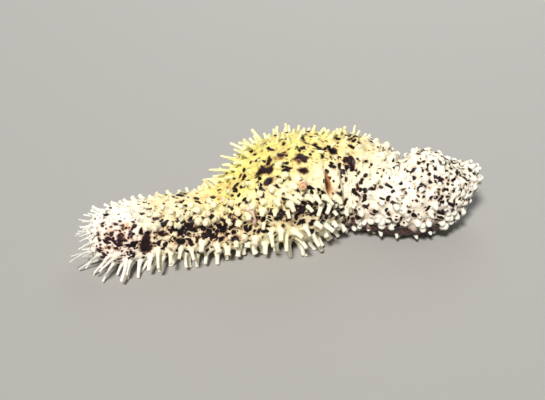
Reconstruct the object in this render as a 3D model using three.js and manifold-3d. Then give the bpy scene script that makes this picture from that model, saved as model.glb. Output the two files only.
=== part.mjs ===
// A peppered sea cucumber, life size, lying on the sea bed with its tentacles drawn in.
// Millimetres. +X runs from the mouth to the tail, +Z is up, and -Y is the side it is seen from.
// The origin is on the floor, under the middle of the animal.
import * as THREE from "three";
import { mergeVertices } from "three/addons/utils/BufferGeometryUtils.js";
import Module from "manifold-3d";

const wasm = await Module();
wasm.setup();

// Body: where the axis starts and ends, and the rounded ends.
const mouthX = -44.4;
const tailX = 48;
const mouthDome = 6.5; // length of the blunt mouth end's rounding
const tailDome = 2.6;
const mouthPit = { depth: 1.3, width: 1.5 };
const tailPit = { depth: 0.9, width: 0.8 };
const bellyLevel = 0.9; // the flattened belly clears the floor by this much
const bellyBlend = 1.1; // how softly the belly turns flat
const sitting = 0.93; // axis height as a share of the girth, because the body sags a little
const stretch = 6; // the axis direction is taken over this length to either side
const ridge = 0.035; // how far the five bands of tube feet stand proud, as a share of the girth

// Five bands of tube feet run the whole length, 72 degrees apart.
const bandCount = 5;
const bandStep = (2 * Math.PI) / bandCount;

// Tube feet.
const stem = 0.5; // radius half way up a foot
const footSides = 5;
const soleGap = 5; // the sole has fewer feet
const crowding = 0.72; // two feet are never nearer than this share of the gap, at their roots or further out
const outThere = 2.4; // how far out that is
const rootDepth = 0.9; // how far a root is sunk into the body
const tallFoot = 3.1; // from this length on a foot has a bent stem and a disc
const footLength = [2.7, 3.0, 4.5, 2.0, 4.7]; // by band: two on the back, then flank, sole, flank
const soleBand = 3;

// The middle of the animal and its feet, which the group moves to the origin.
const middle = { x: -0.16, y: 6.71 };

const cutGap = 0.3; // between neighbouring lengths of the body
const edgeRoom = 1.0; // a root keeps this far from a cut

// The body in named lengths, from each one's first X to the next one's.
const lengths = [
  { name: "mouth_end", from: mouthX, colour: 0xe9e2d0 },
  { name: "fore_trunk", from: -35.5, colour: 0xe6dcc0 },
  { name: "middle_trunk", from: -20, colour: 0xe6dfae },
  { name: "hind_trunk", from: 4, colour: 0xebe4cc },
  { name: "rear_lobe", from: 28.4, colour: 0xf0eadb },
  { name: "tail_tip", from: 41.6, colour: 0xe9e2d0 },
];

const sides = 28; // round the body
const ringStep = 1.9; // along the body
const domeRings = 7;

// A smooth curve through [x, value] points: cubic pieces whose slope at a point is that of its two neighbours.
function through(...points) {
  const slope = (i) => {
    const [a, b] = [points[Math.max(i - 1, 0)], points[Math.min(i + 1, points.length - 1)]];
    return (b[1] - a[1]) / (b[0] - a[0]);
  };
  return (x) => {
    let i = 0;
    while (i < points.length - 2 && x > points[i + 1][0]) i++;
    const [[x0, v0], [x1, v1]] = [points[i], points[i + 1]];
    const span = x1 - x0;
    const t = Math.min(Math.max((x - x0) / span, 0), 1);
    const s = 1 - t;
    return (
      v0 * (1 + 2 * t) * s * s + v1 * (3 - 2 * t) * t * t + span * t * s * (slope(i) * s - slope(i + 1) * t)
    );
  };
}

// The pose: the back arches away from the viewer, swollen in the middle, with a waist before the rear lobe.
const back = through(
  ...[[mouthX, -4.2], [-30, -0.2], [-18, 2.2], [-8, 5.0], [4, 10.0], [14, 13.8], [21, 12.8], [29, 10.2]],
  ...[[37, 11.6], [tailX, 14]],
);
const girth = through(
  ...[[mouthX, 6.1], [-37, 6.6], [-30, 7.0], [-20, 7.2], [-12, 7.9], [-7.5, 9.6], [-2, 12.1], [4, 12.6]],
  ...[[11, 11.9], [18, 11.2], [28.6, 9.2], [35, 9.7], [40.5, 7.6], [44.4, 4.1], [tailX, 2.6]],
);
const raised = through([mouthX, 0], [33, 0.3], [40.5, 3.3], [44.4, 7.9], [tailX, 10.8]);
const seam = through([mouthX, 22], [-30, 14], [-8, 10], [6, 0], [16, -20], [32, -10], [tailX, 0]); // degrees

// How the feet change along the body: the gap from one to the next, the bands' half width in degrees, the share of
// their full length and their lean to the tail.
const footGap = through([mouthX, 3.3], [-34, 3.7], [18, 3.8], [30, 3.3], [tailX, 2.7]);
const spread = through([mouthX, 34], [-38, 28], [-28, 23], [8, 24], [22, 31], [tailX, 36]);
const reach = through([mouthX, 1.15], [-36, 1.1], [-28, 1.0], [6, 1.0], [13, 0.62], [28, 0.5], [tailX, 0.3]);
const lean = through(
  ...[[mouthX, -1.2], [-36, -0.8], [-28, -0.3], [-14, -0.1], [6, 0.35], [18, 0.1], [40, 0.1]],
  [tailX, 0.4],
);

const up = new THREE.Vector3(0, 0, 1);
const radians = THREE.MathUtils.degToRad;

function axisPoint(x) {
  return new THREE.Vector3(x, back(x), sitting * girth(x) + raised(x));
}

// The axis point, the way along, evened out over a short stretch, and the two ways across: towards the viewer and up.
function frameAt(x) {
  const ahead = axisPoint(Math.min(x + stretch, tailX));
  const along = ahead.sub(axisPoint(Math.max(x - stretch, mouthX))).normalize();
  const near = new THREE.Vector3().crossVectors(along, up).normalize();
  return { at: axisPoint(x), along, near, rise: new THREE.Vector3().crossVectors(near, along) };
}

const roundEnd = (far, length) => (far >= length ? 1 : Math.sqrt(Math.max(0, 1 - (1 - far / length) ** 2)));

const radiusAt = (x) => girth(x) * roundEnd(x - mouthX, mouthDome) * roundEnd(tailX - x, tailDome);

// A point of the skin: x along, angle round from the viewer's side towards the top.
function skin(x, angle) {
  const { at, along, near, rise } = frameAt(x);
  const bands = Math.cos(bandCount * (angle - radians(seam(x)) - bandStep / 2));
  const radius = radiusAt(x);
  const pit = ({ depth, width }) => depth * Math.exp(-((radius / width) ** 2));
  const inwards = x < 0 ? pit(mouthPit) : -pit(tailPit);
  const full = radius * (1 + ridge * bands);
  const p = at
    .addScaledVector(near, full * Math.cos(angle))
    .addScaledVector(rise, full * Math.sin(angle))
    .addScaledVector(along, inwards);
  const over = p.z - bellyLevel;
  p.z = bellyLevel + (over + Math.hypot(over, bellyBlend)) / 2;
  return p;
}

function outwards(x, angle) {
  const step = 0.05;
  const alongSkin = skin(x + step, angle).sub(skin(x - step, angle));
  const roundSkin = skin(x, angle + step).sub(skin(x, angle - step));
  return roundSkin.cross(alongSkin).normalize().negate();
}

// Skins a row of rings of equal length and closes both ends with a fan.
function loft(rings) {
  const count = rings[0].length;
  const last = (rings.length - 1) * count;
  const index = [];
  for (let k = 0; k < count; k++) {
    const next = (k + 1) % count;
    for (let r = 0; r < last; r += count)
      index.push(r + k, r + next, r + next + count, r + k, r + next + count, r + k + count);
    if (k > 0 && next > 0) index.push(0, next, k, last, last + k, last + next);
  }
  return new THREE.BufferGeometry().setFromPoints(rings.flat()).setIndex(index);
}

function solid(geometry) {
  const merged = mergeVertices(geometry, 1e-5);
  return new wasm.Manifold(
    new wasm.Mesh({
      numProp: 3,
      vertProperties: new Float32Array(merged.attributes.position.array),
      triVerts: new Uint32Array(merged.index.array),
    }),
  );
}

// The X of each ring of one length of the body, closer together where an end is rounded.
function ringPlaces(from, to) {
  const steps = [0.35, ...Array.from({ length: domeRings - 1 }, (_, i) => i + 1)];
  const dome = steps.map((i) => 1 - Math.cos((i / domeRings) * (Math.PI / 2)));
  const start = from === mouthX ? mouthX + mouthDome : from;
  const stop = to === tailX ? tailX - tailDome : to;
  const count = Math.max(2, Math.round((stop - start) / ringStep));
  return [
    ...(from === mouthX ? dome.map((share) => mouthX + mouthDome * share) : []),
    ...Array.from({ length: count + 1 }, (_, i) => start + ((stop - start) * i) / count),
    ...(to === tailX ? dome.map((share) => tailX - tailDome * share).reverse() : []),
  ];
}

// One length of the body. A cut is flat and square to the axis, half the gap back from its X.
function bodyLength(from, to) {
  const rings = ringPlaces(from, to).map((x) => {
    const inwards = (x === from) - (x === to);
    const shift = frameAt(x).along.multiplyScalar((inwards * cutGap) / 2);
    return Array.from({ length: sides }, (_, k) => skin(x, (-2 * Math.PI * k) / sides).add(shift));
  });
  return solid(loft(rings));
}

// Seeded random numbers from 0 to 1.
function seeded(seed) {
  let state = seed;
  return () => {
    state = (state + 0x6d2b79f5) | 0;
    let t = Math.imul(state ^ (state >>> 15), 1 | state);
    t = (t + Math.imul(t ^ (t >>> 7), 61 | t)) ^ t;
    return ((t ^ (t >>> 14)) >>> 0) / 4294967296;
  };
}

// Where each tube foot grows: columns of feet across each band, every other column shifted by half a gap.
function footPlaces(random) {
  const places = [];
  for (let band = 0; band < bandCount; band++) {
    const gapAt = (x) => (band === soleBand ? soleGap : footGap(x));
    let shifted = false;
    for (let x = mouthX + 1.2; x < tailX - 0.5; x += 0.87 * gapAt(x)) {
      const gap = gapAt(x);
      shifted = !shifted;
      const step = gap / radiusAt(x);
      const count = Math.floor((2 * radians(spread(x))) / step + (shifted ? 0.5 : 1));
      for (let j = 0; j < count; j++) {
        const at = x + (random() - 0.5) * 0.3 * gap;
        const across = (j - (count - 1) / 2 + (random() - 0.5) * 0.3) * step;
        const angle = radians(seam(at)) + bandStep * (band + 0.5) + across;
        const root = skin(at, angle);
        const tip = root.clone().addScaledVector(outwards(at, angle), outThere);
        const apart = (other) => Math.min(other.root.distanceTo(root), other.tip.distanceTo(tip));
        if (places.every((other) => apart(other) > crowding * gap)) places.push({ x: at, angle, band, root, tip });
      }
    }
  }
  return places;
}

// One tube foot as a solid: a wide root, a bent stem and a disc on its end, or a short knob.
function tubeFoot({ x, angle, band, root }, random, clear) {
  const out = outwards(x, angle);
  const { along } = frameAt(x);
  const length = footLength[band] * reach(x) * (0.8 + 0.4 * random());
  const way = out
    .clone()
    .addScaledVector(along, lean(x) * (0.8 + 0.5 * random()))
    .normalize();
  const droop = band === soleBand ? 0 : 0.16 * length;
  const bend = new THREE.Vector3(random() - 0.5, random() - 0.5, random() - 0.5)
    .multiplyScalar(0.35 * length)
    .addScaledVector(up, -droop);
  const tall = length > tallFoot;
  const sunk = -rootDepth / length;
  const shape = tall
    ? [[sunk, 1.5], [0.3, 1.12], [0.84, 0.92], [1, 1.38]]
    : [[sunk, 1.6], [1, 1.15]];
  const rings = shape.map(([share, wide]) => {
    const radius = stem * wide;
    const centre = root
      .clone()
      .addScaledVector(share > 0 ? way : out, share * length)
      .addScaledVector(bend, share > 0 ? share ** 2 : 0);
    clear(centre, radius);
    if (band !== soleBand) centre.z = Math.max(centre.z, radius + 0.05);
    const axis = way.clone().addScaledVector(bend, (2 * Math.max(share, 0)) / length).normalize();
    const side = new THREE.Vector3().crossVectors(axis, along).normalize();
    const other = new THREE.Vector3().crossVectors(axis, side);
    return Array.from({ length: footSides }, (_, k) => {
      const turn = (2 * Math.PI * k) / footSides;
      return centre
        .clone()
        .addScaledVector(side, radius * Math.cos(turn))
        .addScaledVector(other, radius * Math.sin(turn));
    });
  });
  return solid(loft(rings));
}

// Moves a foot's middle line clear of the flat cut at each end of its length of the body.
function clearOf(from, to) {
  const cuts = [];
  if (from !== mouthX) cuts.push({ ...frameAt(from), facing: 1 });
  if (to !== tailX) cuts.push({ ...frameAt(to), facing: -1 });
  return (point, radius) => {
    for (const { at, along, facing } of cuts) {
      const room = radius + cutGap;
      const far = facing * point.clone().sub(at).dot(along);
      if (far < room) point.addScaledVector(along, facing * (room - far));
    }
  };
}

const material = (colour) => new THREE.MeshStandardMaterial({ color: colour, roughness: 0.35, metalness: 0 });

function meshOf(made, name, colour) {
  const { numProp, vertProperties, triVerts } = made.getMesh();
  const points = new Float32Array((vertProperties.length / numProp) * 3);
  for (let i = 0; i < points.length / 3; i++)
    points.set(vertProperties.subarray(i * numProp, i * numProp + 3), i * 3);
  const geometry = new THREE.BufferGeometry()
    .setAttribute("position", new THREE.BufferAttribute(points, 3))
    .setIndex(new THREE.BufferAttribute(new Uint32Array(triVerts), 1));
  const mesh = new THREE.Mesh(geometry, material(colour));
  mesh.name = name;
  return mesh;
}

const animal = new THREE.Group();
animal.position.set(-middle.x, -middle.y, 0);
const random = seeded(4);
const feet = footPlaces(random);
lengths.forEach(({ name, from, colour }, i) => {
  const to = i + 1 < lengths.length ? lengths[i + 1].from : tailX;
  const inside = ({ x }) => (from === mouthX || x > from + edgeRoom) && (to === tailX || x < to - edgeRoom);
  const clear = clearOf(from, to);
  const grown = feet.filter(inside).map((place) => tubeFoot(place, random, clear));
  const joined = wasm.Manifold.union([bodyLength(from, to), ...grown]).trimByPlane([0, 0, 1], 0);
  const whole = joined.decompose().sort((a, b) => b.volume() - a.volume())[0];
  animal.add(meshOf(whole, name, colour));
});

export default animal;
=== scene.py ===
import bpy
import numpy as np
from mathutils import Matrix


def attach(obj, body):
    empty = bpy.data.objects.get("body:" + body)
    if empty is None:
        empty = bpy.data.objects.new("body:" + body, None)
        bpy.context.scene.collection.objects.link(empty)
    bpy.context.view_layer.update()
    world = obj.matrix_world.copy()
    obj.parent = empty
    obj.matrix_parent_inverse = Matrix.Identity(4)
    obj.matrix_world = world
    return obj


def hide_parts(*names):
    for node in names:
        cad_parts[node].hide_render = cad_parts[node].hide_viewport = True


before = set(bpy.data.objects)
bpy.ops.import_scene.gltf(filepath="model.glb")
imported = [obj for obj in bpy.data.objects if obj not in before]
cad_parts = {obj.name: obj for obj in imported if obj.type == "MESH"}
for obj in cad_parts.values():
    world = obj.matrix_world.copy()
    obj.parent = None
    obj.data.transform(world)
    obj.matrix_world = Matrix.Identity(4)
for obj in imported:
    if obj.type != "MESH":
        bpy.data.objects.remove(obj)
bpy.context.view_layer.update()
mm = 0.001
fullTurn = 2 * np.pi
soleAngle = 1.5 * np.pi
print("frame:", ", ".join(sorted(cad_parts)))

# The body as in the solids. Each curve is a list of (x, value) points from the mouth to the tail.
body = dict(
    mouthX=-44.4,
    tailX=48,
    mouthDome=6.5,  # length of the rounding at each end
    tailDome=2.6,
    mouthPit=(1.3, 1.5),  # depth and width
    tailPit=(0.9, 0.8),
    bellyLevel=0.9,  # the flat belly clears the floor by this
    bellyBlend=1.1,  # how softly it turns flat
    sitting=0.93,  # axis height as a share of the girth
    stretch=6,  # the axis direction is evened out over this length
    ridge=0.035,  # how far the five bands of feet stand proud, as a share of the girth
    bands=5,
    middle=(-0.16, 6.71, 0),  # moved to the origin, as in the solids
    back=[
        *[(-44.4, -4.2), (-30, -0.2), (-18, 2.2), (-8, 5), (4, 10), (14, 13.8), (21, 12.8)],
        *[(29, 10.2), (37, 11.6), (48, 14)],
    ],
    girth=[
        *[(-44.4, 6.1), (-37, 6.6), (-30, 7), (-20, 7.2), (-12, 7.9), (-7.5, 9.6), (-2, 12.1)],
        *[(4, 12.6), (11, 11.9), (18, 11.2), (28.6, 9.2), (35, 9.7), (40.5, 7.6), (44.4, 4.1), (48, 2.6)],
    ],
    raised=[(-44.4, 0), (33, 0.3), (40.5, 3.3), (44.4, 7.9), (48, 10.8)],
    seam=[(-44.4, 22), (-30, 14), (-8, 10), (6, 0), (16, -20), (32, -10), (48, 0)],
)
bandStep = fullTurn / body["bands"]


def unit(v):
    # A vector over its own length.
    return v / np.maximum(np.linalg.norm(v, axis=-1, keepdims=True), 1e-12)


def step(low, high, v):
    # Smooth step: 0 up to low, 1 from high on, and 3t^2 - 2t^3 between them.
    t = np.clip((v - low) / (high - low), 0, 1)
    return t * t * (3 - 2 * t)


def through(points, x):
    # Cubic pieces through the points. The slope at a point is that of the line between its two neighbours.
    px, pv = np.array(points, float).T
    number = np.arange(len(px))
    before, after = np.maximum(number - 1, 0), np.minimum(number + 1, len(px) - 1)
    slope = (pv[after] - pv[before]) / (px[after] - px[before])
    i = np.clip(np.searchsorted(px, x, side="left") - 1, 0, len(px) - 2)
    span = px[i + 1] - px[i]
    t = np.clip((x - px[i]) / span, 0, 1)
    s = 1 - t
    flat = pv[i] * (1 + 2 * t) * s * s + pv[i + 1] * (3 - 2 * t) * t * t
    return flat + span * t * s * (slope[i] * s - slope[i + 1] * t)


def axisPoint(x):
    # The middle of the body: x, the back's curve, and sitting x girth + raised.
    height = body["sitting"] * through(body["girth"], x) + through(body["raised"], x)
    return np.stack([x, through(body["back"], x), height], -1)


def frameAt(x):
    # The axis point, the way along, and the two ways across: towards the viewer and up.
    ahead = axisPoint(np.minimum(x + body["stretch"], body["tailX"]))
    along = unit(ahead - axisPoint(np.maximum(x - body["stretch"], body["mouthX"])))
    near = unit(np.cross(along, [0, 0, 1]))
    return axisPoint(x), along, near, np.cross(near, along)


def roundEnd(far, length):
    # A quarter circle: 0 at the end, 1 from length on.
    return np.sqrt(np.clip(1 - (1 - np.clip(far / length, 0, 1)) ** 2, 0, 1))


def radiusAt(x):
    # The girth, rounded off at both ends.
    ends = roundEnd(x - body["mouthX"], body["mouthDome"]) * roundEnd(body["tailX"] - x, body["tailDome"])
    return through(body["girth"], x) * ends


def bandAngle(x, angle):
    # How far an angle is past the front seam, as a share of a fifth turn.
    return (angle - np.radians(through(body["seam"], x))) / bandStep


def skinPoint(x, angle):
    # Axis point + radius x (near cos + rise sin), with five low ridges and a pit in each end. The belly is
    # pressed flat: a height h over its level becomes (h + sqrt(h^2 + blend^2)) / 2.
    at, along, near, rise = frameAt(x)
    radius = radiusAt(x)
    full = radius * (1 + body["ridge"] * np.cos(fullTurn * (bandAngle(x, angle) - 0.5)))
    depth, width = [np.where(x < 0, *pair) for pair in zip(body["mouthPit"], body["tailPit"])]
    pit = np.sign(-x) * depth * np.exp(-((radius / width) ** 2))
    p = at + near * (full * np.cos(angle))[..., None] + rise * (full * np.sin(angle))[..., None]
    p = p + along * pit[..., None]
    over = p[..., 2] - body["bellyLevel"]
    p[..., 2] = body["bellyLevel"] + (over + np.hypot(over, body["bellyBlend"])) / 2
    return p


def outwards(x, angle):
    # The skin's normal: the cross product of its slopes along and round the body, each over 2h.
    h = 0.05
    alongSkin = skinPoint(x + h, angle) - skinPoint(x - h, angle)
    roundSkin = skinPoint(x, angle + h) - skinPoint(x, angle - h)
    return unit(np.cross(alongSkin, roundSkin))


# Tube feet. Bands count from the front seam up and over: two on the back, far flank, sole and near flank.
nearBack, crestBand, soleBand = 0, 1, 3
feet = dict(
    seed=7,
    tries=40000,
    fromEnds=(0.5, 0.3),  # no foot is nearer to the two ends
    # how far apart they grow, on the bands and between them
    gapOnBand=[
        *[(-44.4, 1.15), (-38, 1.4), (-32, 1.7), (-20, 1.8), (8, 1.8), (19, 2.4), (32, 2.3)],
        *[(40, 1.8), (48, 1.4)],
    ],
    gapBetween=[
        *[(-44.4, 1.9), (-38, 2.6), (-30, 3), (8, 3), (16, 2.6), (24, 2.5), (32, 2.2)],
        *[(40, 1.8), (48, 1.5)],
    ],
    bandGap=[1, 1, 1.05, 1.2, 1.2],  # times wider apart on each band
    spread=[(-44.4, 34), (-36, 28), (-28, 23), (8, 25), (22, 30), (48, 36)],  # half width of a band
    bandEdge=(0.85, 1.1),  # a band thins out between these shares of its half width
    # a bare dark band: angles past the front seam, how far and how often its edges wave, and where it is
    darkBand=dict(low=-10, high=23, wave=6, often=1.1, start=-33, stop=-11),
    # lengths: on each band, times the reach, and no more than the tallest
    length=[2.3, 4.1, 4.6, 2, 5],
    betweenLength=1.6,
    reach=[(-44.4, 1.2), (-38, 1.1), (-28, 0.95), (6, 1), (13, 0.7), (22, 0.55), (48, 0.45)],
    leastReach=0.7,  # of the feet between the bands
    tallest=[
        *[(-44.4, 5.4), (-39, 4.3), (-34, 3.7), (-26, 3.5), (-18, 3.1), (-12, 1.8), (-9, 1.7), (-5, 3.5)],
        *[(0, 3.8), (4, 2.8), (8, 1.8), (20, 1.5), (30, 1.4), (36, 1.1), (41, 0.9), (48, 0.8)],
    ],
    uneven=(0.7, 1.2),
    soleLength=(1.5, 0.3),  # least length, and least share of it that the floor leaves
    floorGap=0.05,  # a foot of the sole ends this high
    # leaning to the tail and straying, and then bending and drooping by shares of the length
    lean=[(-44.4, -1.3), (-36, -0.8), (-28, -0.3), (-14, -0.1), (6, 0.35), (18, 0.1), (48, 0.1)],
    leanUneven=(0.7, 1.3),
    stray=0.1,
    bend=0.45,
    droop=0.16,
    coneDroop=0.25,
    # radius of the stem
    stem=[
        *[(-44.4, 0.17), (-41.5, 0.26), (-38, 0.37), (-30, 0.48), (-18, 0.56), (-6, 0.54), (6, 0.54)],
        *[(18, 0.5), (26, 0.46), (40, 0.45), (48, 0.38)],
    ],
    stemUneven=(0.75, 1.12),
    smallStem=0.72,  # times the stem, for small feet between the bands
    smallBelow=0.4,  # a foot is small where it is less on a band than this
    # kinds: where along the body they grow, and the length under which a foot is a disc
    thinUpTo=-41,
    conesFrom=-7,
    knobsFrom=15,
    crestKnobsLater=4,
    discsBelow=2.4,
    crestDiscsUpTo=-16,
    soleDiscsUpTo=38,
    # knobs: how length and stem change, and by what share a few are larger, and how many of them
    knobLength=(-0.35, 0.2),
    knobStem=(-0.25, 0.25),
    largeKnobs=(0.3, 0.11),
    tintUpTo=0.972,  # from off-white at 0 to warm, and the last few just turn pink
)
# The crest of the back carries thinner, closer feet.
crest = dict(
    length=[
        *[(-44.4, 3.4), (-41.4, 2.6), (-38, 1.5), (-32, 1.3), (-18, 1.5), (-14, 2.7), (-10, 3.8), (-5, 3.6)],
        *[(1, 2.6), (8, 2.2), (16, 2.4), (20, 1.7), (25, 1.3), (48, 1.2)],
    ],
    upTo=[-34, 99, -20, -99, -99],  # up to here this length is the tallest on each band
    fullFrom=4,  # and from here on every foot of the crest has it
    stem=[(-44.4, 1), (-30, 0.95), (-22, 0.75), (-6, 0.7), (8, 0.82), (20, 1), (48, 1)],
    gap=[(-44.4, 1.1), (-26, 1.1), (-18, 0.95), (-6, 0.95), (6, 1.2), (18, 1.1), (24, 1), (48, 1)],
    uneven=(0.55, 1.35),
    unevenUpTo=18,
    lean=[(-44.4, 0), (-24, 0), (-16, -0.5), (-4, -0.5), (6, 0), (48, 0)],
)
# A foot's outline from root to end: shares of its length, widths times the stem, and the end's middle.
outlines = dict(
    thin=([0.03, 0.18, 0.45, 0.86, 0.95, 1], [2.2, 1.3, 0.95, 0.8, 0.92, 0.6], 1),
    tube=([0.03, 0.2, 0.42, 0.84, 0.94, 1], [2.2, 1.5, 1.05, 0.92, 1.02, 0.8], 0.98),
    disc=([0.04, 0.25, 0.55, 0.82, 0.93, 1], [1.9, 1.45, 1.15, 1.12, 1.38, 1.1], 0.93),
    knob=([0.03, 0.28, 0.54, 0.78, 0.93, 1], [2.3, 1.6, 1.3, 1.12, 0.8, 0.36], 1.02),
    cone=([0.03, 0.22, 0.45, 0.75, 0.94, 1], [2.5, 1.75, 1.25, 0.95, 1, 0.72], 0.97),
)
kindNumber = {name: number for number, name in enumerate(outlines)}
# Clumps of knobs that touch, low on the lobe.
clumps = dict(
    # x, angle, how many knobs, and their stem radius
    rows=[
        *[(25.9, -12, 6, 0.66), (37.4, -18, 7, 0.6), (32.2, -16, 3, 0.6)],
        *[(22, -22, 3, 0.5), (29.8, 10, 3, 0.5)],
    ],
    apart=0.9,
    turn=2.4,
    roundBody=6.5,  # degrees to a millimetre there
    line=[(0, 0), (-1, 0.5), (-3, 1)],  # a knob's middle line: change of angle, and height over the skin
    tint=0.6,
)


def clump(x, angle, count, stem):
    # A spiral: knob k stands apart x sqrt(k) from the middle, one turn on from the knob before it.
    number = np.arange(count)
    far, turn = clumps["apart"] * np.sqrt(number), clumps["turn"] * number
    places = zip(x + far * np.cos(turn), angle + clumps["roundBody"] * far * np.sin(turn))
    lines = [[(px, pa + drop, high) for drop, high in clumps["line"]] for px, pa in places]
    return [(line, stem, "knob", clumps["tint"]) for line in lines]


# Feet given one by one: root, middle and end as (x, angle, height over the skin), stem radius, kind and tint.
handFeet = [
    ([(-8.9, 45, 0), (-7.2, 32, 1.3), (-8.1, 17, 0.7)], 0.5, "thin", 0.985),  # the arched pink one
    ([(-36.8, -21, 0), (-37.4, -18, 2.8), (-38.3, -20, 5.5)], 0.42, "tube", 0.4),  # the longest, at the mouth
    ([(1.5, 38, 0), (1.3, 37, 1), (1.1, 36, 1.8)], 0.64, "disc", 1),  # the orange disc, and three below
    ([(-1.7, 35, 0), (-0.9, 29, 1), (0.1, 22, 1.2)], 0.5, "tube", 0.3),
    ([(6.6, 12, 0), (5.8, 9, 1.2), (4.8, 5, 2)], 0.5, "tube", 0.2),
    ([(4.4, 14, 0), (3.8, 10, 1.2), (2.8, 5, 2.2)], 0.5, "tube", 0.5),
    # knobs on the tail's tip and round its opening
    *[([(46.4, a, 0), (46.6, a, 0.5), (46.9, a, 1)], 0.42, "knob", 0.4) for a in (46, 78, 110)],
    *[([(46.5, a, 0), (46.7, a, 0.5), (47.1, a, 1)], 0.3, "knob", 0.4) for a in (4, 160, 216, 288)],
    *[foot for row in clumps["rows"] for foot in clump(*row)],
]
clearOfHand = 1.3  # no other foot grows nearer than this to the line of a listed one
# Smooth, swollen patches with no feet: x, angle and radius.
bare = [
    *[(4.2, 40, 3.9), (10, 38, 2.7), (7, 54, 3.2), (-3, 62, 3.4), (2.4, 62, 3.6), (-8, 60, 2.4)],
    *[(-39.5, 26, 3.4), (-36, 32, 3.2), (-35.5, 12, 2.6), (-33, 24, 2.4), (-38.4, 60, 3)],
    *[(-34.6, 56, 2.4), (12.6, 28, 3), (16, 20, 2.8), (17.5, 34, 3.2), (15, 47, 2.8)],
    *[(20.5, 20, 2.2), (26, 40, 2.6), (30.5, 46, 1.8), (-32.2, -3, 2.1)],
]
clearOfFold = 0.3  # nor where a fold, taken twice as wide, is deeper than this

# Folds across the body: x, angle, depth, half width along the body and half angle. Negative depth stands up.
folds = [
    (6.8, 32, 1.8, 0.75, 15),
    (9, 36, -0.6, 0.9, 24),
    (11.2, 34, 0.4, 0.6, 18),
    (12.2, 356, 0.9, 0.9, 22),
    (15.6, 350, -0.4, 1, 24),
    (28.4, 120, 0.5, 1.1, 45),
]


def foldDepth(x, angle, spread=1):
    # Gaussian grooves added up: depth x exp(-(distance along / width / spread)^2 - (turn / half angle)^2).
    deep = np.zeros(np.shape(x))
    for atX, atAngle, depth, width, half in folds:
        turn = (np.degrees(angle) - atAngle + 180) % 360 - 180
        deep += depth * np.exp(-(((x - atX) / width / spread) ** 2) - (turn / half) ** 2)
    return deep


def openSkin(x, angle, root):
    # Where feet may grow: clear of the listed ones, the folds, the smooth patches and the dark band.
    hand = np.array([spot[:2] for row in handFeet for spot in row[0]])
    handRoot = skinPoint(hand[:, 0], np.radians(hand[:, 1]))
    clear = np.min(np.linalg.norm(root[:, None] - handRoot, axis=-1), 1) > clearOfHand
    clear &= foldDepth(x, angle, 2) < clearOfFold
    for atX, atAngle, radius in bare:
        clear &= np.linalg.norm(root - skinPoint(np.array(atX), np.radians(atAngle)), axis=-1) > radius
    bands, dark = body["bands"], feet["darkBand"]
    past = ((bandAngle(x, angle) % bands + bands / 2) % bands - bands / 2) * 360 / bands
    edge = dark["wave"] * np.sin(dark["often"] * x)
    beside = (past < dark["low"] - edge) | (past > dark["high"] + edge)
    return clear & (beside | (x < dark["start"]) | (x > dark["stop"]))


def placeFeet():
    # Random places on the skin, each kept where no kept one is nearer than the local gap.
    rng = np.random.default_rng(feet["seed"])
    first, last = feet["fromEnds"]
    x = rng.uniform(body["mouthX"] + first, body["tailX"] - last, feet["tries"])
    angle = rng.uniform(0, fullTurn, feet["tries"])
    across = bandAngle(x, angle) % body["bands"]
    band = np.floor(across).astype(int)
    offBand = np.abs(across - band - 0.5) * 360 / body["bands"]
    spread = through(feet["spread"], x)
    low, high = feet["bandEdge"]
    onBand = 1 - step(spread * low, spread * high, offBand)
    gap = through(feet["gapBetween"], x) * (1 - onBand) + through(feet["gapOnBand"], x) * onBand
    gap = gap * np.array(feet["bandGap"])[band] * np.where(band == crestBand, through(crest["gap"], x), 1)
    root = skinPoint(x, angle)
    kept = []
    placed = np.empty_like(root)
    for i in np.flatnonzero(openSkin(x, angle, root)):
        far = placed[: len(kept)] - root[i]
        if not len(kept) or np.min(np.einsum("ij,ij->i", far, far)) > gap[i] ** 2:
            placed[len(kept)] = root[i]
            kept.append(i)
    return {k: v[kept] for k, v in dict(x=x, angle=angle, band=band, onBand=onBand, root=root).items()}


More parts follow.
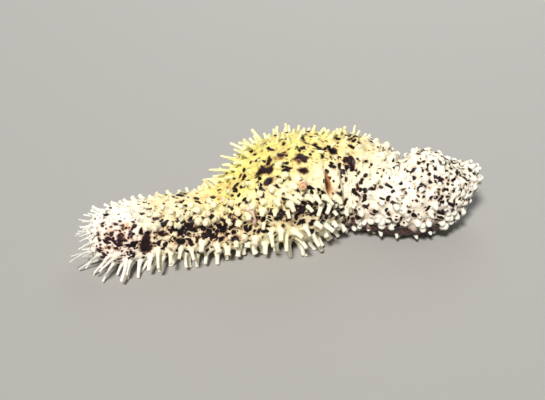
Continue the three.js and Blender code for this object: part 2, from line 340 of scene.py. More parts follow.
def growFeet(place):
    # Each foot's middle line is root + rise t + bend t^2, t running from 0 at the root to 1 at the end.
    rng = np.random.default_rng(feet["seed"] + 1)
    x, band, onBand = place["x"], place["band"], place["onBand"]
    count = len(x)
    onCrest, sole = band == crestBand, band == soleBand
    reach = through(feet["reach"], x)
    full = np.array(feet["length"])[band] * reach
    between = feet["betweenLength"] * np.maximum(reach, feet["leastReach"])
    onTop = x < np.array(crest["upTo"])[band]
    tallest = np.where(onTop, through(crest["length"], x), through(feet["tallest"], x))
    held = np.minimum(full * onBand + between * (1 - onBand), tallest)
    length = np.where(onCrest & (x > crest["fullFrom"]), tallest, held) * rng.uniform(*feet["uneven"], count)
    uneven = rng.uniform(*crest["uneven"], count)
    length = length * np.where(onCrest & (x < crest["unevenUpTo"]), uneven, 1)
    soleLeast, shareLeast = feet["soleLength"]
    length = np.where(sole, np.maximum(length, soleLeast), length)
    out = outwards(x, place["angle"])
    lean = through(feet["lean"], x) * rng.uniform(*feet["leanUneven"], count)
    lean = lean + onCrest * through(crest["lean"], x)
    way = unit(out + frameAt(x)[1] * lean[:, None] + rng.normal(0, feet["stray"], (count, 3)))
    bend = rng.uniform(-0.5, 0.5, (count, 3)) * (feet["bend"] * length)[:, None]
    cone = (band == nearBack) & (x > feet["conesFrom"]) & (x < feet["knobsFrom"])
    bend[:, 2] -= np.where(sole, 0, feet["droop"] + feet["coneDroop"] * cone) * length
    # a foot of the sole is shortened so that it ends on the floor
    down = -(way[:, 2] * length + bend[:, 2])
    toFloor = np.clip((place["root"][:, 2] - feet["floorGap"]) / np.maximum(down, 1e-6), shareLeast, 1)
    toFloor = np.where(sole, toFloor, 1)
    length, bend = toFloor * length, toFloor[:, None] * bend
    stem = through(feet["stem"], x) * rng.uniform(*feet["stemUneven"], count)
    stem = stem * np.where(onCrest, through(crest["stem"], x), 1)
    larger, share = feet["largeKnobs"]
    knobby, large = x > feet["knobsFrom"], larger * (rng.random(count) < share)
    length = length * (1 + (rng.uniform(*feet["knobLength"], count) + large) * knobby)
    stem = stem * (1 + (rng.uniform(*feet["knobStem"], count) + large) * knobby)
    small = (onBand < feet["smallBelow"]) & (x < feet["knobsFrom"])
    stem = stem * np.where(small, feet["smallStem"], 1)
    # tubes, but for these, each row going over those before it
    kinds = [
        ("disc", (length < feet["discsBelow"]) & (~onCrest | (x < feet["crestDiscsUpTo"]))),
        ("cone", cone),
        ("thin", x < feet["thinUpTo"]),
        ("knob", x > feet["knobsFrom"] + feet["crestKnobsLater"] * onCrest),
        ("disc", (sole & (x < feet["soleDiscsUpTo"])) | (small & (x > feet["thinUpTo"]))),
    ]
    kind = np.full(count, kindNumber["tube"])
    for name, where in kinds:
        kind[where] = kindNumber[name]
    place.update(length=length, out=out, rise=way * length[:, None], bend=bend, stem=stem, kind=kind)
    place.update(tint=rng.uniform(0, feet["tintUpTo"], count))
    return place


def addHandFeet(place):
    # The middle line passes the three places: rise = 4 middle - 3 root - end, and
    # bend = 2 root + 2 end - 4 middle.
    lines, stems, kinds, tints = zip(*handFeet)
    spots = np.array(lines, float)
    x, angle = spots[..., 0], np.radians(spots[..., 1])
    out = outwards(x, angle)
    root, middle, end = np.moveaxis(skinPoint(x, angle) + out * spots[..., 2:], 1, 0)
    added = dict(x=x[:, 0], angle=angle[:, 0], root=root, out=out[:, 0])
    added.update(rise=4 * middle - 3 * root - end, bend=2 * root + 2 * end - 4 * middle)
    added.update(length=np.linalg.norm(end - root, axis=-1), stem=np.array(stems), tint=np.array(tints))
    added.update(kind=np.array([kindNumber[kind] for kind in kinds]))
    added.update(band=np.full(len(x), nearBack), onBand=np.ones(len(x)))
    return {k: np.concatenate([v, added[k]]) for k, v in place.items()}


place = addHandFeet(growFeet(placeFeet()))
print("tube feet:", len(place["x"]))

# Relief of the skin: heights along the body, wave lengths and widths.
relief = dict(
    pillows=[(-44.4, 0.14), (-20, 0.2), (10, 0.24), (26, 0.34), (48, 0.2)],
    pillowWaves=dict(seed=21, count=26, length=(3, 6)),
    pillowCap=1.5,
    wrinkles=[(-44.4, 0.05), (6, 0.06), (11, 0.08), (19, 0.1), (25, 0.07), (48, 0.05)],
    wrinkleWaves=dict(seed=22, count=14, length=(1.7, 3), roundness=0.22),
    wrinkleLevel=0.7,
    meanGirth=9,  # turns a wave's length round the body into whole waves
    footSwell=[
        *[(-44.4, 0.3), (-36, 0.45), (-20, 0.55), (12, 0.55), (20, 0.8), (26, 0.95), (44, 0.7)],
        *[(48, 0.2)],
    ],
    soleSwell=0.3,  # times as much under the body
    soleFrom=(0.45, 0.7),  # coming in between these sines of the angle under the horizon
    swellWidth=1.05,
    pleats=10,  # pleats of the drawn-in mouth
    pleatDepth=0.28,
    pleatRing=(1.6, 1.1),  # how far from the mouth's middle they lie, and how wide the ring is
    calmPoles=(0.3, 2.4),  # the rest comes in between these distances from the axis
    smoothHollows=0.85,  # the bare patches lose this share of the painted shade in the hollows
)
grid = dict(around=252, trunk=330, mouth=26, tail=14)


def waves(x, angle, seed, count, length, roundness=1):
    # Sine waves of random direction and phase added up, about 1 high, with whole waves round the body.
    rng = np.random.default_rng(seed)
    total = 0
    for _ in range(count):
        number = fullTurn / rng.uniform(*length)
        turn = rng.uniform(0, np.pi)
        roundNumber = np.round(relief["meanGirth"] * number * np.sin(turn) * roundness)
        total = total + np.sin(number * np.cos(turn) * x + roundNumber * angle + rng.uniform(0, fullTurn))
    return total / np.sqrt(count / 2)


def footNearness(x, points):
    # 1 at a foot's root and exp(-(distance / width)^2) round it, and the same times the local swelling.
    near, swell = np.zeros(x.shape), np.zeros(x.shape)
    under = step(*relief["soleFrom"], -np.sin(place["angle"]))
    height = through(relief["footSwell"], place["x"]) * (1 - (1 - relief["soleSwell"]) * under)
    reach = 4 * relief["swellWidth"]
    for atX, root, high in zip(place["x"], place["root"], height):
        rows = slice(*np.searchsorted(x[:, 0], [atX - reach, atX + reach]))
        here = np.exp(-np.sum((points[rows] - root) ** 2, axis=-1) / relief["swellWidth"] ** 2)
        near[rows] = np.maximum(near[rows], here)
        swell[rows] = np.maximum(swell[rows], high * here)
    return near, swell


def skinRelief(x, angle, swell):
    # Pillows parted by grooves + wrinkles round the body + foot swellings - folds, fading out at the poles,
    # + pleats round the mouth: depth x Gaussian ring x cos(pleats x angle).
    cap = relief["pillowCap"]
    pillow = np.minimum(np.abs(waves(x, angle, **relief["pillowWaves"])), cap) - cap / 2
    wrinkle = relief["wrinkleLevel"] - np.abs(waves(x, angle, **relief["wrinkleWaves"]))
    high = through(relief["pillows"], x) * pillow + through(relief["wrinkles"], x) * wrinkle + swell
    radius = radiusAt(x)
    ring, width = relief["pleatRing"]
    pucker = np.exp(-(((radius - ring) / width) ** 2)) * (x < 0)
    high = (high - foldDepth(x, angle)) * step(*relief["calmPoles"], radius)
    return high + relief["pleatDepth"] * pucker * np.cos(relief["pleats"] * angle)


def ringPlaces():
    # Rings close together where an end is rounded: end + rounding x (1 - cos t).
    start, stop = body["mouthX"] + body["mouthDome"], body["tailX"] - body["tailDome"]
    shares = [1 - np.cos(np.linspace(0, np.pi / 2, grid[end] + 1)[1:-1]) for end in ("mouth", "tail")]
    mouth = body["mouthX"] + body["mouthDome"] * shares[0]
    tail = body["tailX"] - body["tailDome"] * shares[1]
    return np.concatenate([mouth, np.linspace(start, stop, grid["trunk"]), tail[::-1]])


# Colour zones of the skin, each worked out at a place on the body and kept as an attribute of the mesh.
zones = dict(
    # dark stripes between the bands: angle past the front seam, half width, and strength along the body
    stripes=[
        (11, 27, [(-44.4, 0.1), (-36, 0.4), (-31, 0.7), (-25, 1.4), (-14, 1.5), (-8, 0.8), (-2, 0)]),
        (5, 15, [(-10, 0), (-4, 0.7), (0, 1.6), (10, 1.6), (16, 1), (22, 0.4), (30, 0)]),
        (68, 14, [(-44.4, 0), (-16, 0.1), (-8, 0.35), (4, 0.4), (14, 0.35), (20, 0)]),
        (144, 12, [(-44.4, 0.3), (-20, 0.7), (10, 0.7), (24, 0.2), (48, 0)]),
        (216, 14, [(-44.4, 0.3), (-20, 0.7), (10, 0.7), (24, 0.4), (48, 0)]),
        (288, 14, [(-44.4, 0.4), (-20, 0.8), (10, 0.9), (24, 0.8), (48, 0.2)]),
    ],
    # peppery patches: x, angle, radius and strength
    patches=[
        *[(-40.6, 26, 3.6, 0.5), (-37.6, 10, 3.2, 0.45), (-36.2, 32, 2, 0.5), (-14.8, 24, 2, 0.4)],
        *[(-2.2, 62, 2.4, 0.5), (9, 66, 2.4, 0.5), (19.6, 30, 2.4, 0.8), (22.5, 44, 2.2, 0.3)],
        *[(37.5, 40, 3.2, 0.5), (42.4, 60, 2, 0.5), (34.4, 80, 2.2, 0.3)],
    ],
    # solid dark blots: x, angle and radius
    blots=[
        *[(-32.2, 3, 1.8), (-31.6, 20, 1), (-25.2, 32, 0.8), (-24.2, 5, 1.2), (-17.6, 18, 0.9)],
        *[(-12.4, 356, 1.1), (-3.2, 70, 1.1), (-2, 65, 0.8), (0.4, 77, 0.9), (3, 66, 1.3)],
        *[(2.4, 51, 0.9), (-3.2, 54, 0.9), (6.4, 81, 0.7), (7.2, 74, 0.7), (10, 70, 1.3)],
        *[(13, 58, 0.8), (15.4, 54, 1.4), (15, 60, 1), (11.8, 44, 0.8), (36.4, 44, 0.8)],
        *[(18.8, 28, 0.7)],
    ],
    # brown and purple shade under the rear lobe: angle, half width, and strength along the body
    shade=(-36, 24, [(10, 0), (16, 0.6), (22, 0.8), (30, 1), (38, 0.9), (44, 0.5), (48, 0.2)]),
    shadeStain=0.5,  # how much the painted shade adds to the stain: more dark stains and specks under the lobe
    mostStain=1.6,
    # warm orange brown blotches: x, angle, radius and strength
    warm=[
        *[(-35.6, 48, 1.4, 1.2), (-39.2, 46, 1.2, 1), (-18, 40, 1.8, 0.6), (-14.6, 8, 2.2, 0.6)],
        *[(15.6, 50, 1.6, 0.9), (11, 87, 0.9, 0.9), (22, 108, 1, 0.9), (19, 27, 1.8, 0.6)],
        *[(27, 12, 2.4, 0.4), (23, 352, 2.4, 0.5), (40, 48, 1.8, 0.45), (32.2, 24, 1.6, 0.4)],
        *[(34, 8, 2, 0.45)],
    ],
    mostWarm=1.2,
    # rosy skin: x, angle, radius and strength
    rosy=[
        *[(-38, 14, 6, 0.7), (-39, 46, 3, 0.4), (-24, 4, 3, 0.3), (-14, 2, 3, 0.4), (9, 30, 2.5, 0.3)],
        *[(24, -4, 4, 0.4), (32, 0, 4, 0.35), (40, 10, 4, 0.2), (31, 92, 2.5, 0.4)],
    ],
    # yellow along the body, with the share of it that the sole has, and lemon on the top of the back: a
    # painted green-yellow cast from an algae blade that lay over it
    yellow=[
        *[(-44.4, 0), (-34, 0.15), (-27, 0.65), (-18, 0.8), (-8, 1), (4, 0.8), (13, 0.5), (20, 0.38)],
        *[(27, 0.18), (48, 0.14)],
    ],
    soleYellow=0.35,
    lemon=[(-20, 0), (-16, 0.3), (-12, 0.75), (-4, 1), (8, 0.9), (15, 0.65), (20, 0.25), (25, 0)],
    lemonFrom=(0.85, 1),
    # how many of the cells have a speck
    pepper=[
        *[(-44.4, 0.4), (-34, 0.4), (-26, 0.45), (-4, 0.5), (10, 0.5), (20, 0.64), (30, 0.62), (38, 0.69)],
        *[(48, 0.7)],
    ],
    # small freckles: along the body, then x, angle, radius and strength of the places with more
    freckles=[(-44.4, 0.45), (-36, 0.45), (-30, 0.3), (-20, 0.2), (0, 0.2), (20, 0.3), (48, 0.4)],
    freckled=[
        *[(-38.8, 24, 4.2, 0.7), (-36.4, 6, 3, 0.5), (-14, 10, 3.5, 0.3), (15, 45, 4, 0.2)],
        *[(36, 30, 5, 0.2)],
    ],
)


def spotSum(rows, x, angle):
    # Gaussian spots added up: strength x exp(-(distance / radius)^2), the distance taken along and round the
    # body. A row without a strength has 1.
    total = np.zeros(np.shape(x))
    for atX, atAngle, radius, *strength in rows:
        turn = (angle - np.radians(atAngle) + np.pi) % fullTurn - np.pi
        far = (x - atX) ** 2 + (turn * through(body["girth"], x)) ** 2
        total += np.prod(strength) * np.exp(-far / radius**2)
    return total


def stripe(off, half, strength, x):
    # Gaussian across a stripe: strength along the body x exp(-(degrees off its middle / half width)^2).
    turn = (off + 180) % 360 - 180
    return through(strength, x) * np.exp(-((turn / half) ** 2))


def zoneValues(x, angle):
    # Spots and stripes added up, each held to its most. Height round the body, 0 at the sole and 1 on top,
    # rules the two yellows.
    past = np.degrees(bandAngle(x, angle) * bandStep)
    stain = spotSum(zones["patches"], x, angle)
    for centre, half, strength in zones["stripes"]:
        stain += stripe(past - centre, half, strength, x)
    centre, half, strength = zones["shade"]
    shade = stripe(np.degrees(angle) - centre, half, strength, x)
    high = 0.5 + 0.5 * np.sin(angle)
    yellow = through(zones["yellow"], x) * (zones["soleYellow"] + (1 - zones["soleYellow"]) * high)
    return dict(
        # the stain carries the painted shade under the rear lobe as well as the real stains
        stain=np.clip(stain + zones["shadeStain"] * shade, 0, zones["mostStain"]),
        blot=np.clip(spotSum(zones["blots"], x, angle), 0, 1),
        shade=shade,
        warm=np.clip(spotSum(zones["warm"], x, angle), 0, zones["mostWarm"]),
        rosy=np.clip(spotSum(zones["rosy"], x, angle), 0, 1),
        yellow=yellow + through(zones["lemon"], x) * step(*zones["lemonFrom"], high),
        pepper=through(zones["pepper"], x),
        freckles=through(zones["freckles"], x) + spotSum(zones["freckled"], x, angle),
    )


def addObject(name, data):
    # A new object, linked to the scene.
    made = bpy.data.objects.new(name, data)
    bpy.context.scene.collection.objects.link(made)
    return made


def flat(values):
    # One row of numbers, as foreach_set takes them.
    return values.astype(np.float32).ravel()


def newMesh(name, points, faces, corners, values, uv):
    # A closed mesh from arrays. faces is a flat list of point numbers, corners says how many each face has,
    # and values are kept at the points.
    mesh = bpy.data.meshes.new(name)
    mesh.vertices.add(len(points))
    mesh.vertices.foreach_set("co", flat((points - np.array(body["middle"])) * mm))
    mesh.loops.add(len(faces))
    mesh.loops.foreach_set("vertex_index", faces.astype(np.int32))
    mesh.polygons.add(len(corners))
    starts = np.concatenate([[0], np.cumsum(corners)[:-1]])
    mesh.polygons.foreach_set("loop_start", starts.astype(np.int32))
    mesh.update(calc_edges=True)
    mesh.validate()
    mesh.polygons.foreach_set("use_smooth", np.ones(len(corners), bool))
    for key, value in values.items():
        mesh.attributes.new(key, "FLOAT", "POINT").data.foreach_set("value", flat(value))
    mesh.uv_layers.new(name="OFBake").data.foreach_set("uv", flat(uv))
    return addObject(name, mesh)


def tubeFaces(rings, sides, way):
    # Quads between rings of points, and a fan at each end round one of the two points that follow the rings.
    # way is 1 or -1, for the way round each face. The second result is each face's number of corners.
    number = np.arange(rings * sides).reshape(rings, sides)
    following = np.roll(number, -1, 1)
    parts = [
        (number[:-1], [number[1:], following[1:], following[:-1]]),
        (np.full(sides, number.size), [number[0], following[0]]),
        (np.full(sides, number.size + 1), [following[-1], number[-1]]),
    ]
    faces = [np.stack([first, *others[::way]], -1).reshape(-1) for first, others in parts]
    return np.concatenate(faces), np.repeat([4, 3], [(rings - 1) * sides, 2 * sides])


def alongBody(x):
    # From 0 at the mouth to 1 at the tail.
    return (x - body["mouthX"]) / (body["tailX"] - body["mouthX"])


def skinUnwrap(rows):
    # u runs along the body and v round it from the sole, for each corner of the quads and of the two fans.
    u, v = alongBody(rows), np.arange(grid["around"] + 1) / grid["around"]
    shape = len(rows) - 1, grid["around"]
    low, high = [np.broadcast_to(e, shape) for e in (v[:-1], v[1:])]
    left, right = [np.broadcast_to(e[:, None], shape) for e in (u[:-1], u[1:])]
    parts = [np.stack([left, low, right, low, right, high, left, high], -1).reshape(-1, 2)]
    half = (v[:-1] + v[1:]) / 2
    for pole, ring, first, second in [(0, u[0], v[:-1], v[1:]), (1, u[-1], v[1:], v[:-1])]:
        poleU, ringU = np.full_like(half, pole), np.full_like(half, ring)
        parts.append(np.stack([poleU, half, ringU, first, ringU, second], -1).reshape(-1, 2))
    return np.vstack(parts)


def makeSkin():
    # Skin point + outwards x relief on a grid of rings, each closed on itself, with a pole at each end.
    rows, around = ringPlaces(), grid["around"]
    x, angle = np.meshgrid(rows, fullTurn * np.arange(around) / around + soleAngle, indexing="ij")
    points = skinPoint(x, angle)
    near, swell = footNearness(x, points)
    points = points + outwards(x, angle) * skinRelief(x, angle, swell)[..., None]
    poles = skinPoint(np.array([body["mouthX"], body["tailX"]]), np.zeros(2))
    smooth = np.clip(spotSum(bare, x, angle), 0, 1)
    zone = zoneValues(x, angle)
    # painted shade in the hollows between the feet: 1 away from them, 0 on their swellings, less on the bare
    # patches
    zone.update(hollow=(1 - near) * (1 - relief["smoothHollows"] * smooth))
    deepest = max(depth for _, _, depth, _, _ in folds)
    zone.update(fold=np.clip(foldDepth(x, angle) / deepest, 0, 1))
    # a pole has the values of a point beside it
    values = {k: np.append(z, [z[0, 0], z[-1, -1]]) for k, z in zone.items()}
    points = np.vstack([points.reshape(-1, 3), poles])
    return newMesh("skin", points, *tubeFaces(len(rows), around, 1), values, skinUnwrap(rows))


# The mesh of the feet.
footMesh = dict(
    sides=8,
    rootDepth=0.7,  # how far a foot runs in under the skin
    rootWide=1.05,  # times its width there
    aside=(0.3, 0.2, 0.1),  # turns the rings where a foot stands straight out
    overFloor=0.03,
    patch=0.003,  # a foot's size on the unwrap
    # the smaller this is, the further up a foot the skin's markings reach
    knobShare=0.5,
    footShare=1.3,
    darkFrom=0.3,  # knobs in a darker shade are as pale as other feet
    endMiddle=0.05,  # share of the rim's colour in the middle of the end
)


def footRings(p):
    # Middle line + radius x (side cos + other sin). The middle line is root + rise t + bend t^2, goes in
    # straight under the skin, and is lifted off the floor. The last two points of each foot close it.
    share, wide, endMiddle = [np.array(column)[p["kind"]] for column in zip(*outlines.values())]
    share = np.concatenate([-footMesh["rootDepth"] / p["length"][:, None], share], 1)
    wide = np.concatenate([wide[:, :1] * footMesh["rootWide"], wide], 1)
    above = np.maximum(share, 0)[..., None]
    below = p["out"][:, None] * (np.minimum(share, 0) * p["length"][:, None])[..., None]
    rise, bend = p["rise"][:, None], p["bend"][:, None]
    centre = p["root"][:, None] + below + rise * above + bend * above**2
    axis = unit(rise + 2 * bend * above)
    radius = p["stem"][:, None] * wide
    lowest = radius * np.sqrt(1 - np.clip(axis[..., 2] ** 2, 0, 1)) + footMesh["overFloor"]
    lifted = (p["band"] != soleBand)[:, None] & (share > 0)
    centre[..., 2] = np.where(lifted, np.maximum(centre[..., 2], lowest), centre[..., 2])
    side = unit(np.cross(axis, unit(np.cross(p["out"], p["rise"] + footMesh["aside"]))[:, None]))
    other = np.cross(axis, side)
    turn = fullTurn * np.arange(footMesh["sides"]) / footMesh["sides"]
    ring = side[:, :, None] * np.cos(turn)[:, None] + other[:, :, None] * np.sin(turn)[:, None]
    rings = centre[:, :, None] + ring * radius[:, :, None, None]
    end = centre[:, -1] + axis[:, -1] * ((endMiddle - 1) * p["length"])[:, None]
    points = np.concatenate([rings.reshape(len(share), -1, 3), centre[:, :1], end[:, None]], 1)
    points[..., 2] = np.maximum(points[..., 2], 0)
    return points, share


def footZones(p, share):
    # The skin's values at the root, and the share of the length, the foot's tint, the end's rim and whether
    # the foot is a thin one.
    count, rings = share.shape
    sides = footMesh["sides"]
    marks = zoneValues(p["x"], p["angle"])
    knob = p["kind"] == kindNumber["knob"]
    marked = knob & (marks["shade"] < footMesh["darkFrom"])
    shares = np.concatenate([np.repeat(share, sides, 1), share[:, :1], np.ones((count, 1))], 1)
    shares = shares * np.where(marked, footMesh["knobShare"], footMesh["footShare"])[:, None]
    rim = np.zeros(shares.shape)
    rim[:, (rings - 1) * sides : rings * sides] = 1
    rim[:, -1] = footMesh["endMiddle"]
    one = dict(marks, tint=p["tint"], thin=p["x"] < feet["thinUpTo"])
    zone = {k: np.repeat(z, shares.shape[1]) for k, z in one.items()}
    return dict(zone, share=np.clip(shares, 0, 1), rim=rim * ~knob[:, None])


def makeFeet(name, chosen):
    # One mesh of the chosen feet: the faces of one foot, their point numbers moved on from foot to foot.
    p = {k: v[chosen] for k, v in place.items()}
    points, share = footRings(p)
    (count, rings), sides = share.shape, footMesh["sides"]
    one, corners = tubeFaces(rings, sides, -1)
    faces = (one + points.shape[1] * np.arange(count)[:, None]).reshape(-1)
    # each foot's patch on the unwrap: its length one way and round it the other, about its root's place
    span = np.concatenate([np.repeat(np.linspace(0, 1, rings), sides), [0, 1]])
    about = np.concatenate([np.tile(np.arange(sides) / sides, rings), [0.5, 0.5]])
    rootV = ((p["angle"] - soleAngle) / fullTurn) % 1
    u = alongBody(p["x"])[:, None] + (span[one] - 0.5) * footMesh["patch"]
    v = rootV[:, None] + (about[one] - 0.5) * footMesh["patch"]
    uv = np.stack([np.clip(u, 0, 1), np.clip(v, 0, 1)], -1).reshape(-1, 2)
    return newMesh(name, points.reshape(-1, 3), faces, np.tile(corners, count), footZones(p, share), uv)


def mathNode(operation, turnedRound=False):
    # A method that puts two numbers through a Math node.
    def apply(self, other):
        pair = [other, self] if turnedRound else [self, other]
        return self.shader.node("ShaderNodeMath", dict(operation=operation), pair)

    return apply


class Value:
    # A socket that Python's own signs work on: each one adds a Math node.
    def __init__(self, shader, socket):
        self.shader, self.socket = shader, socket

    __add__ = __radd__ = mathNode("ADD")
    __mul__ = __rmul__ = mathNode("MULTIPLY")
    __sub__, __rsub__ = mathNode("SUBTRACT"), mathNode("SUBTRACT", True)
    upTo, atLeast = mathNode("MINIMUM"), mathNode("MAXIMUM")

    def also(self, output):
        # Another output of the same node.
        return Value(self.shader, self.socket.node.outputs[output])

    def ramp(self, low, high):
        # 0 up to low and 1 from high on, smooth between.
        settings = dict(interpolation_type="SMOOTHSTEP")
        return self.shader.node("ShaderNodeMapRange", settings, {0: self, 1: low, 2: high})


# Noise patterns: how many to a metre, and detail.
noises = dict(
    soft=(260, 3),
    fine=(900, 3),
    cloud=(150, 3),
    jitter=(700, 1),
    network=(820, 4),
    skinGrain=(2200, 4),
    skinDimples=(700, 3),
    footGrain=(2600, 3),
    floor=(9, 2),
)


class Shader:
    # One material's node tree.
    def __init__(self, name):
        self.material = bpy.data.materials.new(name)
        self.material.use_nodes = True
        self.tree = self.material.node_tree
        self.principled = self.tree.nodes["Principled BSDF"]
        self.object = self.node("ShaderNodeTexCoord", {}, {}, "Object")

    def node(self, kind, settings, sockets, output=0):
        # Any node: its settings first, then values or links by socket name or number.
        made = self.tree.nodes.new(kind)
        for key, value in settings.items():
            setattr(made, key, value)
        pairs = sockets.items() if isinstance(sockets, dict) else enumerate(sockets)
        for key, value in pairs:
            self.feed(made.inputs[key], value)
        return Value(self, made.outputs[output])

    def feed(self, socket, value):
        # A link, or a plain number or colour.
        if isinstance(value, Value):
            self.tree.links.new(value.socket, socket)
        else:
            socket.default_value = value

    def attribute(self, name):
        # One of the values that the mesh carries.
        return self.node("ShaderNodeAttribute", dict(attribute_name=name), {}, "Fac")

    def noise(self, name, vector=None, output="Fac"):
        # One of the noises, on Object coordinates unless others are given.
        scale, detail = noises[name]
        sockets = {"Vector": vector or self.object, "Scale": scale, "Detail": detail}
        return self.node("ShaderNodeTexNoise", {}, sockets, output)

    def cells(self, vector, scale=1):
        # How far the nearest cell's middle is, the cells being placed at random.
        return self.node("ShaderNodeTexVoronoi", {}, {"Vector": vector, "Scale": scale}, "Distance")

    def mix(self, share, first, second):
        # Two colours, mixed by share.
        settings = dict(data_type="RGBA")
        colours = [(*c, 1) if isinstance(c, tuple) else c for c in (first, second)]
        return self.node("ShaderNodeMix", settings, {0: share, 6: colours[0], 7: colours[1]}, 2)

    def layered(self, base, layers):
        # Coats over the base, each one a share and the name of a paint.
        for share, name in layers:
            base = self.mix(share, base, paint[name])
        return base

    def vector(self, operation, *vectors, **others):
        # A Vector Math node.
        sockets = {**dict(enumerate(vectors)), **others}
        return self.node("ShaderNodeVectorMath", dict(operation=operation), sockets)

    def shifted(self, vector, offset, turn, scale):
        # The vector moved, turned back and divided by scale, so that a pattern of size 1 gets that scale.
        settings = dict(vector_type="TEXTURE")
        sockets = {"Vector": vector, "Location": offset, "Rotation": turn, "Scale": scale}
        return self.node("ShaderNodeMapping", settings, sockets)

    def bump(self, strength, depth, height):
        # A normal tilted by the slope of height, where 1 stands depth millimetres high.
        sockets = {"Strength": strength, "Distance": depth * mm, "Height": height}
        return self.node("ShaderNodeBump", {}, sockets)

    def finish(self, **sockets):
        # Feeds the Principled node, an underscore standing for a space.
        for key, value in sockets.items():
            self.feed(self.principled.inputs[key.replace("_", " ")], value)
        return self.material


# Colours are linear.
paint = dict(
    white=(0.94, 0.92, 0.83),
    cream=(0.92, 0.83, 0.42),
    # painted green-yellow cast on the top of the back, from an algae blade over it
    lemon=(0.8, 0.77, 0.2),
    rosy=(0.82, 0.52, 0.42),
    # painted ochre shade in the hollows between the feet
    hollow=(0.84, 0.68, 0.42),
    # painted tan shade in the hollows on yellow skin
    tan=(0.62, 0.38, 0.12),
    orange=(0.66, 0.28, 0.08),
    brown=(0.3, 0.11, 0.03),
    dark=(0.006, 0.003, 0.004),
    plum=(0.022, 0.009, 0.012),
    shade=(0.19, 0.11, 0.085),
    purple=(0.04, 0.024, 0.03),
    # painted olive shade, in clouds over the yellow skin
    olive=(0.6, 0.54, 0.2),
    foldOrange=(0.45, 0.19, 0.06),
    # painted dark shade where a fold is deepest
    foldShadeBrown=(0.06, 0.02, 0.01),
    stem=(0.94, 0.92, 0.84),
    warmStem=(0.9, 0.83, 0.6),
    thinStem=(0.66, 0.67, 0.6),
    pinkStem=(0.8, 0.5, 0.42),
    orangeStem=(0.62, 0.27, 0.07),
    rim=(0.84, 0.6, 0.44),
)
# Specks of the skin, one to a cell.
specks = dict(
    # cell size, stretch one way, turn about the viewer's line, radius as a share of the cell, and ruling zone
    rows=[
        (1.6, 1, 0, 0.36, "pepper"),
        (1.35, 2.6, 28, 0.36, "pepper"),
        (1.35, 2.4, -58, 0.36, "pepper"),
        (0.86, 1.3, 15, 0.33, "freckles"),
    ],
    apart=13,  # each row's pattern is moved on by this
    jitter=1.1,  # how far noise shifts them
    stained=(0.35, 0.05),  # how many more a stain brings, and how much larger they are there
    growth=3,  # how soon a cell's speck is full, once it has one
    edge=(-0.04, 0.05),
    halo=0.13,  # width of the brown halo
    haloEdge=(-0.1, 0.1),
    grainCell=0.95,  # brown grains between them
    grainRadius=0.24,
)


def groundColour(s, zone, soft, fine, fade, hollow):
    # White to yellow, then a painted lemon cast, painted olive shade in clouds, rosy skin, painted ochre and
    # tan shade in the hollows, warm blotches and painted shade.
    base = s.mix((zone["yellow"] * (0.5 + soft)).upTo(1), paint["white"], paint["cream"])
    yellow = zone["yellow"].upTo(1)
    layers = [
        # painted green-yellow cast from an algae blade over the back
        ((zone["yellow"] - 1).atLeast(0), "lemon"),
        # painted olive shade in clouds over the yellow skin
        (s.noise("cloud").ramp(0.45, 0.62) * yellow * 0.4 * fade, "olive"),
        (zone["rosy"] * (fine + 0.2) * 0.8, "rosy"),
        # painted shade in the hollows between the feet: ochre, then tan on yellow skin
        ((fine * 2.2 - 0.7).atLeast(0) * hollow * 0.38, "hollow"),
        ((fine * 3.0 - 1).ramp(0, 1) * hollow * yellow * 0.6, "tan"),
        ((zone["warm"] * (fine * 1.6 - 0.1)).ramp(0.15, 1) * fade, "orange"),
        ((zone["shade"] * (fine + 0.4)).ramp(0.1, 0.7) * 0.85 * fade, "shade"),
        ((zone["shade"] * (soft + 0.5) - 0.55).ramp(0, 0.25) * 0.9 * fade, "purple"),
    ]
    return s.layered(base, layers)


def largest(values):
    # The largest of several values.
    total = values[0]
    for value in values[1:]:
        total = total.atLeast(value)
    return total


def speckMasks(s, zone, where):
    # In each cell where random + zone + stain is over 1: 1 inside the speck's radius, and so for its halo.
    masks, halos = [], []
    more, larger = specks["stained"]
    for row, (cell, stretch, turn, size, ruling) in enumerate(specks["rows"]):
        scale = (cell * stretch * mm, cell * mm, cell * mm)
        offset = (specks["apart"] * mm * row,) * 3
        far = s.cells(s.shifted(where, offset, (0, np.radians(turn), 0), scale))
        random = s.node("ShaderNodeSeparateColor", {}, {0: far.also("Color")})
        present = ((random + zone[ruling] + zone["stain"] * more - 1) * specks["growth"]).upTo(1)
        radius = (zone["stain"] * larger + size) * present
        masks.append((radius - far).ramp(*specks["edge"]))
        halo = (radius + specks["halo"] - far).ramp(*specks["haloEdge"])
        halos.append(halo * random.also(1).ramp(0.1, 0.5) * present.ramp(0, 0.2))
    return largest(masks), largest(halos)


# Stains and blots: where they begin and how softly, dark and then in the brown fringe round them.
stains = dict(dark=((0.77, 0.08), (0.95, 0.3)), fringe=((0.7, 0.09), (0.74, 0.3)))


def stainMask(zone, soft, fine, network, part):
    # 1 where zone x noise + a fine network is well over its threshold, for a stain or for a blot.
    stained = zone["stain"] * (soft * 2.6 - 0.3) * 0.2 + network
    blotted = zone["blot"] * (fine * 0.9 + 0.55) + network * 1.1
    over = [(mask - begin).ramp(0, width) for mask, (begin, width) in zip((stained, blotted), stains[part])]
    return largest(over)


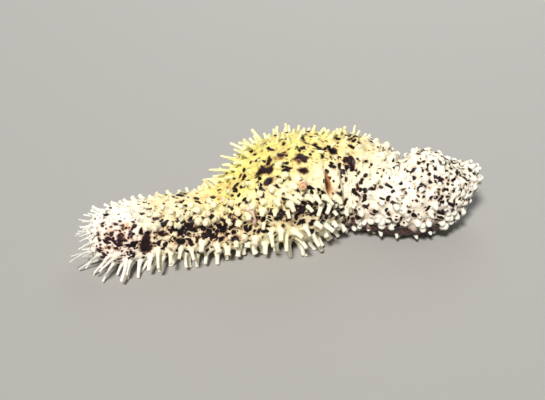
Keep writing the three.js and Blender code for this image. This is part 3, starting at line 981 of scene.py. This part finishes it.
def peppered(s, fade, hollow=0):
    # The ground's colour, then brown grains, brown fringes and halos, and the dark specks, stains and blots.
    names = ("stain", "blot", "shade", "warm", "rosy", "yellow", "pepper", "freckles")
    zone = {name: s.attribute(name) for name in names}
    soft, fine = s.noise("soft"), s.noise("fine")
    ground = groundColour(s, zone, soft, fine, fade, hollow)
    jitter = s.vector("SCALE", s.noise("jitter", output="Color"), Scale=specks["jitter"] * mm)
    warped = s.vector("ADD", s.object, jitter)
    speck, halo = speckMasks(s, zone, warped)
    network = s.noise("network", warped)
    dark, fringe = [stainMask(zone, soft, fine, network, part) for part in ("dark", "fringe")]
    grain = specks["grainRadius"] - s.cells(warped, 1 / (specks["grainCell"] * mm))
    layers = [
        (grain.ramp(-0.03, 0.06) * (fine * 1.6 - 0.45) * fade, "brown"),
        (fringe.atLeast(halo * 0.6) * fade * 0.8, "brown"),
    ]
    deep = s.mix(soft.ramp(0.42, 0.6), paint["dark"], paint["plum"])
    return s.mix(speck.atLeast(dark) * fade, s.layered(ground, layers), deep)


def skinMaterial():
    # Peppered skin, orange in the fold and painted dark brown shade where it is deepest, with fine grain over
    # wider dimples.
    s = Shader("moist_peppered_skin")
    fold = s.attribute("fold")
    layers = [(fold.ramp(0.3, 0.55), "foldOrange"), (fold.ramp(0.55, 0.9), "foldShadeBrown")]
    grain = s.noise("skinGrain")
    return s.finish(
        Base_Color=s.layered(peppered(s, 1, s.attribute("hollow")), layers),
        Roughness=0.34 + grain * 0.16,
        Normal=s.bump(0.6, 0.2, grain * 0.5 + s.noise("skinDimples")),
        Subsurface_Weight=0.12,
        Subsurface_Radius=(1, 0.7, 0.45),
        Subsurface_Scale=1.2 * mm,
        Specular_IOR_Level=0.2,
    )


def footMaterial():
    # The skin's own markings fade out above the root. The stem is off-white, or yellowish on yellow skin.
    # Thin feet are greyer, the highest tints are pink and orange, and the end's rim is a little pinker.
    s = Shader("tube_foot")
    share, tint = s.attribute("share"), s.attribute("tint")
    stem = s.mix(tint.ramp(0.2, 0.9) * 0.5, paint["stem"], paint["warmStem"])
    stem = s.mix(s.attribute("yellow").upTo(1) * 0.55, stem, paint["cream"])
    colour = s.mix(share.ramp(0.05, 0.6) * 0.6, peppered(s, 1 - share.ramp(0.05, 0.4)), stem)
    layers = [
        (s.attribute("thin") * share.ramp(0.1, 0.8) * 0.7, "thinStem"),
        (tint.ramp(0.965, 0.98) * share.ramp(0, 0.4) * 0.8, "pinkStem"),
        (tint.ramp(0.99, 0.995) * share.ramp(0.4, 0.9), "orangeStem"),
        (s.attribute("rim") * 0.75, "rim"),
    ]
    grain = s.noise("footGrain")
    return s.finish(
        Base_Color=s.layered(colour, layers),
        Roughness=0.3 + grain * 0.15,
        Normal=s.bump(0.4, 0.1, grain),
        Subsurface_Weight=0.3,
        Subsurface_Radius=(1, 0.8, 0.6),
        Subsurface_Scale=1.2 * mm,
        Specular_IOR_Level=0.35,
    )


skin = makeSkin()
skin.data.materials.append(skinMaterial())
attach(skin, "root")
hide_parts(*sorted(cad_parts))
print("skin:", len(skin.data.vertices), "points")

footFinish = footMaterial()
# The feet in four pieces: from where to where along the body.
regions = dict(mouth_feet=(-99, -33), fore_feet=(-33, -8), middle_feet=(-8, 17), rear_feet=(17, 99))
for name, (low, high) in regions.items():
    group = makeFeet(name, (place["x"] >= low) & (place["x"] < high))
    group.data.materials.append(footFinish)
    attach(group, "root")
    print(name + ":", len(group.data.polygons), "faces")

# The stage: a pale floor, soft lights and the camera at the photograph's angle.
studio = dict(
    target=(-1.64, 2.79, 8),
    elevation=35,
    lens=60,
    sensor=36,
    distance=218,
    seen=(10, 10000),  # nearest and furthest that the camera sees
    floor=6000,
    floorTones=((0.39, 0.38, 0.36), (0.36, 0.35, 0.33)),
    sun=dict(place=(-80, -230, 340), strength=4, width=11, colour=(1, 0.985, 0.96)),
    fill=dict(place=(60, 260, 240), strength=0.25, size=220, colour=(1, 1, 1)),
    sky=dict(strength=0.17, colour=(0.93, 0.96, 1)),
)


def lookAt(made, place, target):
    # Turns an object's -Z to the target, its X level.
    way = unit(np.array(target, float) - place)
    made.location = place
    made.rotation_euler = (np.arccos(-way[2]), 0, np.arctan2(way[1], way[0]) - np.pi / 2)


def makeStudio():
    # Floor, two lights, sky, and the camera at its distance and elevation from the target.
    scene = bpy.context.scene
    target = np.array(studio["target"]) * mm
    half = studio["floor"] * mm / 2
    corners = [(-half, -half, 0), (half, -half, 0), (half, half, 0), (-half, half, 0)]
    mesh = bpy.data.meshes.new("floor")
    mesh.from_pydata(corners, [], [(0, 1, 2, 3)])
    s = Shader("floor_paint")
    tone = s.mix(s.noise("floor") * 0.2, *studio["floorTones"])
    mesh.materials.append(s.finish(Base_Color=tone, Roughness=0.8))
    addObject("floor", mesh)
    sun = bpy.data.lights.new("key_light", "SUN")
    sun.angle = np.radians(studio["sun"]["width"])
    fill = bpy.data.lights.new("fill_light", "AREA")
    fill.size = studio["fill"]["size"] * mm
    for light, kind in ((sun, "sun"), (fill, "fill")):
        light.energy, light.color = studio[kind]["strength"], studio[kind]["colour"]
        lookAt(addObject(light.name, light), np.array(studio[kind]["place"]) * mm, target)
    world = bpy.data.worlds.new("studio")
    world.use_nodes = True
    sky = world.node_tree.nodes["Background"]
    sky.inputs["Color"].default_value = (*studio["sky"]["colour"], 1)
    sky.inputs["Strength"].default_value = studio["sky"]["strength"]
    scene.world = world
    scene.view_settings.view_transform = "Standard"
    lens = bpy.data.cameras.new("camera")
    lens.lens, lens.sensor_width = studio["lens"], studio["sensor"]
    lens.clip_start, lens.clip_end = np.array(studio["seen"]) * mm
    scene.camera = addObject("camera", lens)
    tilt = np.radians(studio["elevation"])
    away = studio["distance"] * mm * np.array([0, -np.cos(tilt), np.sin(tilt)])
    lookAt(scene.camera, target + away, target)


makeStudio()
print("studio ready")
